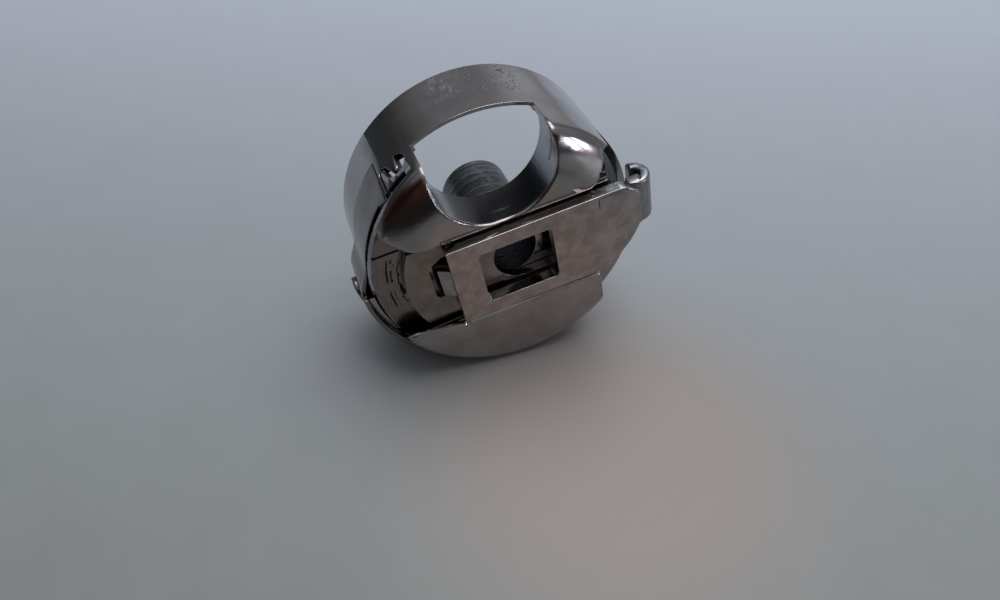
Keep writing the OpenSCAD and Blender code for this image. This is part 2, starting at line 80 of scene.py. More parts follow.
# Numbers of a colour Mix node's two inputs and its output, whose names repeat.
FIRST, SECOND, MIXED = 6, 7, 2

Tree = bpy.types.NodeTree
Socket = bpy.types.NodeSocket
# A surface's colour, roughness and height in metres, each a socket or a value.
Look = tuple[Any, Any, Any]
# The low limit, the high limit and half the width of the soft ends.
Span = tuple[float, float, float]


def linear(hex_code: str) -> tuple[float, float, float, float]:
    """Turns an sRGB hex colour into linear RGBA.

    Args:
        hex_code: colour as "#rrggbb".

    Returns:
        Linear red, green, blue and an alpha of 1.
    """

    def channel(value: float) -> float:
        """Undoes the sRGB curve for one channel."""
        return value / 12.92 if value <= 0.04045 else ((value + 0.055) / 1.055) ** 2.4

    code = hex_code.lstrip("#")
    red, green, blue = (channel(int(code[i : i + 2], 16) / 255) for i in (0, 2, 4))
    return (red, green, blue, 1.0)


def add_node(
    tree: Tree,
    kind: str,
    inputs: dict[str | int, Any] | None = None,
    out: str | int = 0,
    **settings: Any,
) -> Socket | None:
    """Adds a node with its settings and links.

    Args:
        tree: node tree to add to.
        kind: Blender's type name of the node.
        inputs: for each input's name or number, a value or the output socket to link.
        out: name or number of the output to hand back.
        **settings: properties of the node.

    Returns:
        The chosen output, or None where the node has none.
    """
    node = tree.nodes.new(kind)
    for name, value in settings.items():
        setattr(node, name, value)
    for key, value in (inputs or {}).items():
        if isinstance(value, Socket):
            tree.links.new(value, node.inputs[key])
        else:
            node.inputs[key].default_value = value
    return node.outputs[out] if node.outputs else None


def fold(tree: Tree, kind: str, *values: Any, **settings: Any) -> Any:
    """Adds a row of nodes of one kind, each of which joins the last result to the next value.

    Args:
        tree: node tree to add to.
        kind: Blender's type name of the nodes.
        *values: sockets or numbers; the first node takes the first two.
        **settings: properties of every node.

    Returns:
        The last result, which is the value itself where there is only one.
    """
    total = values[0]
    for value in values[1:]:
        total = add_node(tree, kind, {0: total, 1: value}, **settings)
    return total


def stretch(tree: Tree, value: Socket, span: Span, unit: float = MM) -> Socket:
    """Masks the stretch where a value lies between two limits.

    Args:
        tree: node tree to add to.
        value: the value, in metres or radians.
        span: the limits and their softness, in units.
        unit: size of the unit; a millimetre unless stated.

    Returns:
        A mask from 0 to 1.
    """
    low, high, soft = span
    middle, half = (low + high) / 2, (high - low) / 2
    off = add_node(tree, MATH, {0: value, 1: middle * unit}, operation="SUBTRACT")
    away = add_node(tree, MATH, {0: off}, operation="ABSOLUTE")
    return add_node(
        tree,
        "ShaderNodeMapRange",
        {"Value": away, "From Min": (half + soft) * unit, "From Max": (half - soft) * unit},
        interpolation_type="SMOOTHSTEP",
    )


@dataclass(frozen=True)
class Blotches:
    """Blotches of a real size: noise that fades in between two of its values."""

    size_mm: float
    low: float = 0.0
    high: float = 1.0
    detail: float = 3.0
    coarseness: float = 0.62

    def mask(self, tree: Tree, place: Socket) -> Socket:
        """Draws the blotches.

        Args:
            tree: the material's node tree.
            place: coordinates in metres.

        Returns:
            A mask from 0 to 1.
        """
        pattern = {
            "Vector": place,
            "Scale": 1 / (self.size_mm * MM),
            "Detail": self.detail,
            "Roughness": self.coarseness,
        }
        noise = add_node(tree, "ShaderNodeTexNoise", pattern, "Fac")
        fade = {"Value": noise, "From Min": self.low, "From Max": self.high}
        return add_node(tree, "ShaderNodeMapRange", fade)


# ------------------------------------------------------------------ directions


class CaseSockets:
    """The case's directions as sockets of a material, in metres.

    They run across its face, up to its window, out of its front and away from its axis.
    """

    def __init__(self, tree: Tree) -> None:
        """Reads object coordinates and turns them to the case.

        Args:
            tree: the material's node tree.
        """
        here = add_node(tree, "ShaderNodeTexCoord", out="Object")
        face = (0, FLOOR_TO_FACE * MM, 0)
        turn = {"Vector": here, "Rotation": (0, CASE_ROLL, 0), "Location": face}
        self.place = add_node(tree, "ShaderNodeMapping", turn)
        split = add_node(tree, "ShaderNodeSeparateXYZ", {"Vector": self.place}).node.outputs
        self.across, self.up = split["X"], split["Z"]
        self.out = add_node(tree, MATH, {0: split["Y"], 1: -1.0}, operation="MULTIPLY")
        self.radius = self.distance(tree, 0, 0)

    def distance(self, tree: Tree, across_mm: float, up_mm: float) -> Socket:
        """Measures the distance from an axis that runs straight through the case.

        Args:
            tree: the material's node tree.
            across_mm: the axis's place across the face.
            up_mm: the axis's place towards the window.

        Returns:
            The distance in metres.
        """
        flat = add_node(tree, "ShaderNodeCombineXYZ", {"X": self.across, "Z": self.up})
        from_axis = {0: flat, 1: (across_mm * MM, 0, up_mm * MM)}
        return add_node(tree, "ShaderNodeVectorMath", from_axis, "Value", operation="DISTANCE")


@dataclass(frozen=True)
class Zone:
    """A region of the case, with a span in millimetres for each direction that bounds it."""

    across: Span | None = None
    up: Span | None = None
    out: Span | None = None
    radius: Span | None = None

    def mask(self, tree: Tree, case: CaseSockets) -> Socket:
        """Masks the region.

        Args:
            tree: the material's node tree.
            case: sockets of the case's directions.

        Returns:
            A mask from 0 to 1.
        """
        bounds = (
            (case.across, self.across),
            (case.up, self.up),
            (case.out, self.out),
            (case.radius, self.radius),
        )
        masks = [stretch(tree, value, span) for value, span in bounds if span]
        return fold(tree, MATH, *masks, operation="MULTIPLY")


# ------------------------------------------------------------------ finishes


@dataclass(frozen=True)
class BrightSteel:
    """Hardened steel with a thin bright plating: a mirror that handling has made cloudy."""

    name: str
    bright: str
    dull: str
    roughness: float
    cloud_mm: float = 3.0
    edge_mm: float = 0.08
    cloud_fade: tuple[float, float] = (0.36, 0.64)
    dull_rougher: float = 1.35
    bright_rougher: float = 0.8
    grain: Blotches = Blotches(0.35, detail=5.0)
    grain_depth_mm: float = 0.004
    grain_turn: tuple[float, float, float] = (0.3, 0.5, 0.2)
    grain_scale: tuple[float, float, float] = (0.25, 1.0, 2.2)

    def build(self) -> bpy.types.Material:
        """Builds the material.

        Returns:
            The finished material.
        """
        material = bpy.data.materials.new(self.name)
        material.use_nodes = True
        tree = material.node_tree
        tree.nodes.clear()
        case = CaseSockets(tree)
        # Handling leaves the plating a shade darker and duller in soft clouds.
        clouds = Blotches(self.cloud_mm, *self.cloud_fade).mask(tree, case.place)
        mixed = {"Factor": clouds, FIRST: linear(self.dull), SECOND: linear(self.bright)}
        tint = add_node(tree, "ShaderNodeMix", mixed, MIXED, data_type="RGBA")
        polish = {
            "Value": clouds,
            "To Min": self.roughness * self.dull_rougher,
            "To Max": self.roughness * self.bright_rougher,
        }
        rough = add_node(tree, "ShaderNodeMapRange", polish)
        # Fine slanting scratches from the polishing wheel, drawn a little coarse so that they show.
        slant = {"Vector": case.place, "Rotation": self.grain_turn, "Scale": self.grain_scale}
        grain = self.grain.mask(tree, add_node(tree, "ShaderNodeMapping", slant))
        height = fold(tree, MATH, grain, self.grain_depth_mm * MM, operation="MULTIPLY")
        tint, rough, height = self.work(tree, case, (tint, rough, height))
        # Polishing rounds every edge a little, so each one catches a thin line of light.
        radius = self.edge_radius(tree, case)
        rounded = add_node(tree, "ShaderNodeBevel", {"Radius": radius}, samples=8)
        relief = {"Height": height, "Strength": 1.0, "Distance": 1.0, "Normal": rounded}
        normal = add_node(tree, "ShaderNodeBump", relief)
        metal = {"Base Color": tint, "Metallic": 1.0, "Roughness": rough, "Normal": normal}
        shader = add_node(tree, "ShaderNodeBsdfPrincipled", metal)
        add_node(tree, "ShaderNodeOutputMaterial", {"Surface": shader})
        return material

    def work(self, tree: Tree, case: CaseSockets, look: Look) -> Look:
        """Adds the marks of how the part was made, with any painted shade; plain parts have none.

        Args:
            tree: the material's node tree; not used here.
            case: sockets of the case's directions; not used here.
            look: colour, roughness and height so far.

        Returns:
            The new colour, roughness and height.
        """
        return look

    def edge_radius(self, tree: Tree, case: CaseSockets) -> Any:
        """Says how far the edges are rounded; the same all over on plain parts.

        Args:
            tree: the material's node tree; not used here.
            case: sockets of the case's directions; not used here.

        Returns:
            A number or a socket, in metres.
        """
        return self.edge_mm * MM

    @staticmethod
    def mark(
        tree: Tree,
        look: Look,
        mask: Socket,
        colour: str,
        rougher: float = 0.0,
        raise_mm: float = 0.0,
    ) -> Look:
        """Colours, roughens and raises or sinks the surface under a mask.

        Args:
            tree: the material's node tree.
            look: colour, roughness and height so far.
            mask: where to do it, from 0 to 1.
            colour: colour under the full mask.
            rougher: roughness to add.
            raise_mm: height to add in millimetres, negative to sink.

        Returns:
            The new colour, roughness and height.
        """
        tint, rough, height = look
        mixed = {"Factor": mask, FIRST: tint, SECOND: linear(colour)}
        tint = add_node(tree, "ShaderNodeMix", mixed, MIXED, data_type="RGBA")
        if rougher:
            added = fold(tree, MATH, mask, rougher, operation="MULTIPLY")
            rough = fold(tree, MATH, rough, added, operation="ADD")
        if raise_mm:
            added = fold(tree, MATH, mask, raise_mm * MM, operation="MULTIPLY")
            height = fold(tree, MATH, height, added, operation="ADD")
        return tint, rough, height


@dataclass(frozen=True)
class TurnedCup(BrightSteel):
    """The same steel turned on a lathe: polished outside, tool marks left on its inner surfaces,
    painted shade in its hollows and a painted highlight on its band.
    """

    # Sizes of the cup, and how much more its shaped edges are rounded.
    post_r: float = 2.9
    chamber_r: float = 10.75
    window_across: float = 0.15
    window_up: float = 9.1
    window_r: float = 4.9
    rim_mm: float = 0.34

    # Marks of the lathe's tool.
    ring_depth_mm: float = 0.012
    rings: Blotches = Blotches(0.16, 0.35, 0.65, 2.0)
    waver: Blotches = Blotches(0.7, detail=2.0)
    waver_rings: float = 2.4
    ridge_mm: float = 0.34
    ridge_fade: tuple[float, float] = (-0.4, 0.8)

    # Regions that are rounded more.
    window_rim: Span = (window_r - 0.5, window_r + 0.5, 0.1)
    channel_edge: Zone = Zone(up=(3.6, 4.4, 0.1))
    front: Zone = Zone(out=(-2.4, 1, 0.1))

    # Regions that are bored, punched or milled, and where shade is painted.
    post: Zone = Zone(out=(-12, -1.55, 0.05), radius=(0, post_r + 0.2, 0.05))
    chamber: Zone = Zone(
        out=(-12, -FLOOR_TO_FACE + 0.04, 0.02), radius=(post_r + 0.5, chamber_r + 0.06, 0.04)
    )
    chamber_wall: Zone = Zone(radius=(chamber_r - 0.15, chamber_r + 0.06, 0.02))
    mouth: Zone = Zone((8.6, chamber_r + 0.03, 0.06), (-4.6, 6.4, 0.05), (-4, -1.4, 0.08))
    eye: Zone = Zone(
        (-8.6, -5.2, 0.1), (7.8, 10.4, 0.1), (-6.4, -2.2, 0.1), (chamber_r + 0.05, 11.36, 0.01)
    )
    window_cut: Span = (window_r - 0.05, window_r + 0.03, 0.02)
    window_depth: Zone = Zone(out=(-4.8, -0.35, 0.05))
    window_foot_shade: Zone = Zone(up=(3.5, 6.2, 1.2))

    # The channel's floor and the painted shade along its two sides.
    land: Zone = Zone(out=(-1.7, -1.4, 0.03), radius=(8.4, 11.3, 0.1))
    arcs: Blotches = Blotches(0.22, 0.53, 0.6, 1.0)
    arc_patches: Blotches = Blotches(2.5, 0.42, 0.55, 1.0)
    lower_corner_shade: Zone = Zone(up=(-4.66, -3.9, 0.03))
    upper_corner_shade: Zone = Zone(up=(3.9, 4.12, 0.03))
    channel: Zone = Zone(across=(-12, 8, 0.3), out=(-1.7, -0.22, 0.04))

    # Wear on the top of the band, with a painted highlight.
    pit_mm: float = 0.3
    pit_fade: tuple[float, float] = (0.36, 0.22)
    pit_patches: Blotches = Blotches(0.9, 0.44, 0.52)
    pitted: Zone = Zone((0.2, 5.2, 0.9), (9, 12, 0.5), (-11.6, -6.6, 0.8))
    scuffs_and_sheen: Blotches = Blotches(0.5, 0.46, 0.66, 4.0)
    scuff_and_sheen_scale: tuple[float, float, float] = (2.2, 0.7, 1.0)
    scuff_and_sheen_zone: Zone = Zone((-1.8, 0.2, 0.7), (8, 12, 0.5), (-12, -7.4, 0.9))

    def edge_radius(self, tree: Tree, case: CaseSockets) -> Any:
        """Rounds the window's rim and the channel's upper edge more than the rest.

        Args:
            tree: the material's node tree.
            case: sockets of the case's directions.

        Returns:
            A socket, in metres.
        """
        from_window = case.distance(tree, self.window_across, self.window_up)
        rim = stretch(tree, from_window, self.window_rim)
        edges = fold(tree, MATH, rim, self.channel_edge.mask(tree, case), operation="MAXIMUM")
        front = self.front.mask(tree, case)
        wider = fold(tree, MATH, edges, front, self.rim_mm * MM, operation="MULTIPLY")
        return fold(tree, MATH, wider, self.edge_mm * MM, operation="ADD")

    def work(self, tree: Tree, case: CaseSockets, look: Look) -> Look:
        """Adds the lathe's marks, the punched and milled cuts, wear, painted shade and a painted
        highlight.

        Args:
            tree: the material's node tree.
            case: sockets of the case's directions.
            look: colour, roughness and height so far.

        Returns:
            The new colour, roughness and height.
        """
        # The tool's rings run round the axis and waver, as a worn tool leaves them.
        waver = self.waver.mask(tree, case.place)
        ring_mm = self.rings.size_mm
        wobble = fold(tree, MATH, waver, self.waver_rings * ring_mm * MM, operation="MULTIPLY")
        radius = fold(tree, MATH, case.radius, wobble, operation="ADD")
        depth = fold(tree, MATH, case.out, wobble, operation="ADD")
        ring_place = add_node(tree, "ShaderNodeCombineXYZ", {"X": radius, "Y": depth})
        look = self.mark_bores_and_shade(tree, case, look, waver, ring_place)
        look = self.mark_cuts_and_shade(tree, case, look)
        look = self.mark_channel_and_shade(tree, case, look, ring_place)
        return self.mark_wear_and_sheen(tree, case, look)

    def mark_bores_and_shade(
        self, tree: Tree, case: CaseSockets, look: Look, waver: Socket, ring_place: Socket
    ) -> Look:
        """Leaves the tool's marks on the post and in the chamber, and paints shade on both.

        Args:
            tree: the material's node tree.
            case: sockets of the case's directions.
            look: colour, roughness and height so far.
            waver: how far the tool wavers, from 0 to 1.
            ring_place: coordinates that are the same along each ring.

        Returns:
            The new colour, roughness and height.
        """
        rings = self.rings.mask(tree, ring_place)
        # The post is painted near black as shade deep in the chamber, and made rougher.
        post = self.post.mask(tree, case)
        look = self.mark(tree, look, post, "#2f3134", rougher=0.2)
        ringed = fold(tree, MATH, post, rings, operation="MULTIPLY")
        look = self.mark(tree, look, ringed, "#7d8085", raise_mm=self.ring_depth_mm)
        # The chamber is bored coarsely: broad ridges run round its wall, and rings its floor. Its
        # inside and the channel's mouth are also painted dark as shade.
        chamber = self.chamber.mask(tree, case)
        bored_and_shaded = fold(tree, MATH, chamber, self.mouth.mask(tree, case), operation="MAXIMUM")
        look = self.mark(tree, look, bored_and_shaded, "#4a4b4e", rougher=0.2)
        ridge_size = self.ridge_mm * MM
        wobble = fold(tree, MATH, waver, ridge_size, operation="MULTIPLY")
        depth = fold(tree, MATH, case.out, wobble, operation="ADD")
        turns = fold(tree, MATH, depth, math.tau / ridge_size, operation="MULTIPLY")
        wave = add_node(tree, MATH, {0: turns}, operation="SINE")
        low, high = self.ridge_fade
        fade = {"Value": wave, "From Min": low, "From Max": high}
        ridges = add_node(tree, "ShaderNodeMapRange", fade)
        wall = self.chamber_wall.mask(tree, case)
        ridged = fold(tree, MATH, chamber, wall, ridges, operation="MULTIPLY")
        look = self.mark(tree, look, ridged, "#1f2022", rougher=0.1, raise_mm=-self.ring_depth_mm)
        turned = fold(tree, MATH, chamber, rings, operation="MULTIPLY")
        return self.mark(tree, look, turned, "#66686b", raise_mm=self.ring_depth_mm / 2)

    def mark_cuts_and_shade(self, tree: Tree, case: CaseSockets, look: Look) -> Look:
        """Dulls the walls of the thread's eye and of the window, and paints shade on the eye's
        walls and at the window's foot.

        Args:
            tree: the material's node tree.
            case: sockets of the case's directions.
            look: colour, roughness and height so far.

        Returns:
            The new colour, roughness and height.
        """
        # The thread's eye is punched, so its walls are dull; they are also painted dark as shade.
        look = self.mark(tree, look, self.eye.mask(tree, case), "#3b3a3a", rougher=0.5)
        # The window's cut is milled and left satin, and painted dark at its foot as shade.
        from_window = case.distance(tree, self.window_across, self.window_up)
        cut = stretch(tree, from_window, self.window_cut)
        cut = fold(tree, MATH, cut, self.window_depth.mask(tree, case), operation="MULTIPLY")
        look = self.mark(tree, look, cut, "#aeaeb1", rougher=0.1)
        foot_shade = fold(tree, MATH, cut, self.window_foot_shade.mask(tree, case), operation="MULTIPLY")
        return self.mark(tree, look, foot_shade, "#4b4a4c")

    def mark_channel_and_shade(
        self, tree: Tree, case: CaseSockets, look: Look, ring_place: Socket
    ) -> Look:
        """Leaves rings on the channel's floor and paints shade on the floor and along its sides.

        Args:
            tree: the material's node tree.
            case: sockets of the case's directions.
            look: colour, roughness and height so far.
            ring_place: coordinates that are the same along each ring.

        Returns:
            The new colour, roughness and height.
        """
        # The channel's floor is left as it was turned, with a few dark rings, and is painted darker
        # as shade in its recess.
        land = self.land.mask(tree, case)
        look = self.mark(tree, look, land, "#817b78", rougher=0.1)
        arcs = self.arcs.mask(tree, ring_place)
        patches = self.arc_patches.mask(tree, case.place)
        arcs = fold(tree, MATH, arcs, land, patches, operation="MULTIPLY")
        look = self.mark(tree, look, arcs, "#2a2726", rougher=0.1, raise_mm=-0.01)
        # Painted shade darkens the inner edges along both sides of the channel.
        sides = (self.lower_corner_shade.mask(tree, case), self.upper_corner_shade.mask(tree, case))
        beside = fold(tree, MATH, *sides, operation="MAXIMUM")
        channel = self.channel.mask(tree, case)
        corner_shade = fold(tree, MATH, beside, channel, operation="MULTIPLY")
        return self.mark(tree, look, corner_shade, "#171616", rougher=0.3)

    def mark_wear_and_sheen(self, tree: Tree, case: CaseSockets, look: Look) -> Look:
        """Pits the top of the band and paints a bright, brushed highlight on it.

        Args:
            tree: the material's node tree.
            case: sockets of the case's directions.
            look: colour, roughness and height so far.

        Returns:
            The new colour, roughness and height.
        """
        # Wear pits are small dark spots where the plating has gone.
        spotted = {"Vector": case.place, "Scale": 1 / (self.pit_mm * MM)}
        spots = add_node(tree, "ShaderNodeTexVoronoi", spotted)
        low, high = self.pit_fade
        fade = {"Value": spots, "From Min": low, "From Max": high}
        pits = add_node(tree, "ShaderNodeMapRange", fade)
        pitted = self.pitted.mask(tree, case)
        patches = self.pit_patches.mask(tree, case.place)
        pits = fold(tree, MATH, pits, pitted, patches, operation="MULTIPLY")
        look = self.mark(tree, look, pits, "#2c2b2d", rougher=0.3, raise_mm=-0.012)
        # Real scuffs, painted as a bright, bluish highlight: a brushed patch beside the pits.
        brushed = {"Vector": case.place, "Scale": self.scuff_and_sheen_scale}
        scuffs_and_sheen = self.scuffs_and_sheen.mask(tree, add_node(tree, "ShaderNodeMapping", brushed))
        scuff_and_sheen_zone = self.scuff_and_sheen_zone.mask(tree, case)
        scuffs_and_sheen = fold(tree, MATH, scuffs_and_sheen, scuff_and_sheen_zone, operation="MULTIPLY")
        return self.mark(tree, look, scuffs_and_sheen, "#b9bec6", rougher=0.2, raise_mm=0.002)


@dataclass(frozen=True)
class RolledLever(BrightSteel):
    """Pressed steel whose end was rolled over: the skin of the roll is coarse and grey."""

    crease_across: float = 10.75
    crease_up: float = 3.55
    crease_r: float = 1.1
    crease_soft: float = 0.05
    end: Zone = Zone(across=(7.5, 13, 0.4))
    flecks: Blotches = Blotches(0.22, 0.5, 0.7)
    scratch: Zone = Zone(across=(7.29, 7.38, 0.02), up=(2.7, 3.6, 0.2))

    def work(self, tree: Tree, case: CaseSockets, look: Look) -> Look:
        """Adds the coarse skin of the rolled end, from its round crease on, and a stray scratch.

        Args:
            tree: the material's node tree.
            case: sockets of the case's directions.
            look: colour, roughness and height so far.

        Returns:
            The new colour, roughness and height.
        """
        # How far a place lies past where each side of the crease starts to turn.
        starts = (self.crease_across - self.crease_r, self.crease_up - self.crease_r)
        past = []
        for side, start in zip((case.across, case.up), starts):
            beyond = fold(tree, MATH, side, -start * MM, operation="ADD")
            past.append(fold(tree, MATH, beyond, 0.0, operation="MAXIMUM"))
        corner = add_node(tree, "ShaderNodeCombineXYZ", {"X": past[0], "Y": past[1]})
        reach = add_node(tree, "ShaderNodeVectorMath", {0: corner}, "Value", operation="LENGTH")
        fade = {
            "Value": reach,
            "From Min": (self.crease_r - self.crease_soft) * MM,
            "From Max": (self.crease_r + self.crease_soft) * MM,
        }
        skin = add_node(tree, "ShaderNodeMapRange", fade)
        skin = fold(tree, MATH, skin, self.end.mask(tree, case), operation="MULTIPLY")
        look = self.mark(tree, look, skin, "#8b8b8e", rougher=0.1, raise_mm=-0.03)
        flecks = self.flecks.mask(tree, case.place)
        flecks = fold(tree, MATH, skin, flecks, operation="MULTIPLY")
        look = self.mark(tree, look, flecks, "#a9aaad", rougher=0.06, raise_mm=0.003)
        scratch = self.scratch.mask(tree, case)
        return self.mark(tree, look, scratch, "#3a3635", rougher=0.1, raise_mm=-0.015)


@dataclass(frozen=True)
class PaleLaminate:
    """Satin laminate of the table top, faintly mottled, with painted light: darker at the front,
    paler and cooler towards the window.
    """

    near: str = "#7d807e"
    far: str = "#adb3bd"
    fade_mm: tuple[float, float] = (-32, 80)
    slant: float = 0.45
    mottle: Blotches = Blotches(6.0)
    mottle_share: float = 0.12
    warm: str = "#938983"
    warm_at: tuple[float, float, float] = (4 * MM, -16 * MM, -11.4 * MM)
    warm_reach: Span = (-14, 14, 9)
    shaded: str = "#171110"
    shade_x_mm: tuple[float, float] = (36, 20)
    shade_y_mm: tuple[float, float] = (-38, -50)
    roughness: float = 0.45
    specular: float = 0.3

    def build(self) -> bpy.types.Material:
        """Builds the material.

        Returns:
            The finished material.
        """
        material = bpy.data.materials.new("pale_laminate")
        material.use_nodes = True
        tree = material.node_tree
        tree.nodes.clear()
        place = add_node(tree, "ShaderNodeTexCoord", out="Object")
        split = add_node(tree, "ShaderNodeSeparateXYZ", {"Vector": place}).node.outputs
        # Painted light: the colour fades from darker at the front to paler and cooler towards the
        # window at the back right.
        aside = fold(tree, MATH, split["X"], self.slant, operation="MULTIPLY")
        slope = fold(tree, MATH, split["Y"], aside, operation="ADD")
        start, end = self.fade_mm
        fade = {"Value": slope, "From Min": start * MM, "From Max": end * MM}
        far = add_node(tree, "ShaderNodeMapRange", fade)
        mottle = self.mottle.mask(tree, place)
        mottle = fold(tree, MATH, mottle, self.mottle_share, operation="MULTIPLY")
        paler = fold(tree, MATH, far, mottle, -self.mottle_share / 2, operation="ADD")
        mixed = {"Factor": paler, FIRST: linear(self.near), SECOND: linear(self.far)}
        tint = add_node(tree, "ShaderNodeMix", mixed, MIXED, data_type="RGBA")
        # A warmer tint under the part's shadow stands in for warm light from the room.
        from_spot = {0: place, 1: self.warm_at}
        away = add_node(tree, "ShaderNodeVectorMath", from_spot, "Value", operation="DISTANCE")
        spot = stretch(tree, away, self.warm_reach)
        mixed = {"Factor": spot, FIRST: tint, SECOND: linear(self.warm)}
        tint = add_node(tree, "ShaderNodeMix", mixed, MIXED, data_type="RGBA")
        # The near side of the table lies in shade, which only the steel's reflections show.
        sides = []
        for side, span_mm in ((split["Y"], self.shade_y_mm), (split["X"], self.shade_x_mm)):
            start, end = span_mm
            fade = {"Value": side, "From Min": start * MM, "From Max": end * MM}
            sides.append(add_node(tree, "ShaderNodeMapRange", fade))
        seen = add_node(tree, "ShaderNodeLightPath", out="Is Camera Ray")
        unseen = add_node(tree, MATH, {0: 1.0, 1: seen}, operation="SUBTRACT")
        shade = fold(tree, MATH, *sides, unseen, operation="MULTIPLY")
        mixed = {"Factor": shade, FIRST: tint, SECOND: linear(self.shaded)}
        tint = add_node(tree, "ShaderNodeMix", mixed, MIXED, data_type="RGBA")
        satin = {
            "Base Color": tint,
            "Roughness": self.roughness,
            "Specular IOR Level": self.specular,
        }
        shader = add_node(tree, "ShaderNodeBsdfPrincipled", satin)
        add_node(tree, "ShaderNodeOutputMaterial", {"Surface": shader})
        return material


# Polished outside of the cup: a nearly neutral grey mirror with faint clouds.
CUP_STEEL = TurnedCup("turned_bright_steel", "#aca8a7", "#9a9594", 0.12)
# Flat lever: a slightly brown satin, finely mottled by handling.
LEVER_STEEL = RolledLever(
    "pressed_bright_steel", "#b2aaa8", "#9a918d", 0.18, cloud_mm=1.2, edge_mm=0.12
)
# Slide: ground flat, so it is a duller and darker grey.
SLIDE_STEEL = BrightSteel("ground_steel", "#8f8985", "#7c7672", 0.22, cloud_mm=1.6)
# Leaf spring: rolled strip, polished, a darker mirror than the cup.
LEAF_STEEL = BrightSteel("polished_spring_strip", "#858280", "#75716f", 0.17)
# Small springs: hardened wire and sheet with a bluish temper.
TEMPERED_STEEL = BrightSteel(
    "tempered_spring_steel", "#8b8d92", "#76787d", 0.25, cloud_mm=1.0, edge_mm=0.03
)
# Screws: turned and oiled, nearly gunmetal.
SCREW_STEEL = BrightSteel(
    "turned_screw_steel", "#8a8888", "#6f6d6c", 0.26, cloud_mm=0.8, edge_mm=0.05
)


# ------------------------------------------------------------------ sub-assemblies


class Easing(Enum):
    """How an edge is rounded.

    Each holds its width in millimetres, its facets and whether it stops at its neighbours.
    """

    HAIRLINE = (0.03, 2, True)
    POLISHED = (0.06, 2, True)
    ROLLED_END = (0.26, 4, False)


def every_edge(edge: bmesh.types.BMEdge) -> bool:
    """Takes every edge."""
    return True


Pick = Callable[[bmesh.types.BMEdge], bool]
# For each rounding in turn, how it is done and which edges it takes.
Rounds = tuple[tuple[Easing, Pick], ...]
EASED: Rounds = ((Easing.HAIRLINE, every_edge),)


@dataclass
class Dresser:
    """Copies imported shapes, rounds their edges and gives them their finishes."""

    frame: dict[str, Any]
    sharp: float = math.radians(28)
    flat_within: float = math.radians(0.4)
    merge_within: float = 0.012 * MM
    sliver: float = 0.001 * MM

    def coat(self, node: str, finish: BrightSteel) -> None:
        """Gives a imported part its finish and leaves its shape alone.

        Args:
            node: name of the part.
            finish: the steel it is made of.
        """
        materials = self.frame["nodes"][node].data.materials
        materials.clear()
        materials.append(finish.build())
        LOG.info("coated %s", node)

    def dress(
        self, node: str, finish: BrightSteel, body: str, rounds: Rounds = EASED
    ) -> bpy.types.Object:
        """Copies one part, rounds its edges and gives it its finish.

        Args:
            node: name of the part.
            finish: the steel it is made of.
            body: name of the body that it moves with.
            rounds: how its edges are rounded.

        Returns:
            The finished piece.
        """
        shape = bmesh.new()
        shape.from_mesh(self.frame["nodes"][node].data)
        bmesh.ops.remove_doubles(shape, verts=shape.verts, dist=self.merge_within)
        bmesh.ops.dissolve_degenerate(shape, edges=shape.edges, dist=self.sliver)
        bmesh.ops.dissolve_limit(
            shape, angle_limit=self.flat_within, verts=shape.verts, edges=shape.edges
        )
        for easing, pick in rounds:
            width, segments, stops = easing.value
            bmesh.ops.bevel(
                shape,
                geom=[e for e in shape.edges if self.is_sharp(e) and pick(e)],
                offset=width * MM,
                offset_type="OFFSET",
                segments=segments,
                profile=0.5,
                affect="EDGES",
                clamp_overlap=stops,
                loop_slide=True,
                material=-1,
            )
        bmesh.ops.triangulate(shape, faces=[f for f in shape.faces if len(f.verts) > 4])
        piece = self.finished(shape, f"{node}_steel", finish, body)
        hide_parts(node)
        return piece

    def finished(
        self, shape: bmesh.types.BMesh, name: str, finish: BrightSteel, body: str
    ) -> bpy.types.Object:
        """Turns a shape into a smooth-shaded piece that rides on a body.

        Args:
            shape: the shape, which is freed.
            name: name of the piece.
            finish: the steel it is made of.
            body: name of the body that it moves with.

        Returns:
            The piece.
        """
        for face in shape.faces:
            face.smooth = True
        mesh = bpy.data.meshes.new(name)
        shape.to_mesh(mesh)
        shape.free()
        mesh.materials.append(finish.build())
        mesh.set_sharp_from_angle(angle=self.sharp)
        piece = bpy.data.objects.new(name, mesh)
        bpy.context.scene.collection.objects.link(piece)
        piece.modifiers.new("true_normals", "WEIGHTED_NORMAL").keep_sharp = True
        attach(piece, body)
        LOG.info("finished %s: %d faces", piece.name, len(mesh.polygons))
        return piece

    def is_sharp(self, edge: bmesh.types.BMEdge) -> bool:
        """Says whether an edge is a real corner and not a facet of a round face."""
        return edge.is_manifold and edge.calc_face_angle(0.0) > self.sharp


@dataclass
class Cup(Dresser):
    """The turned cup and the spring on its chamber floor."""

    square_within: float = 0.9999

    def build(self) -> None:
        """Finishes the cup and what belongs to it."""
        cup = self.dress("case_body", CUP_STEEL, "case", ())
        # Faces that the lathe cut square to the axis are truly flat, so they are shaded flat.
        for face in cup.data.polygons:
            face.use_smooth = abs(face.normal.y) < self.square_within
        self.dress("idle_prevention_spring", TEMPERED_STEEL, "case")


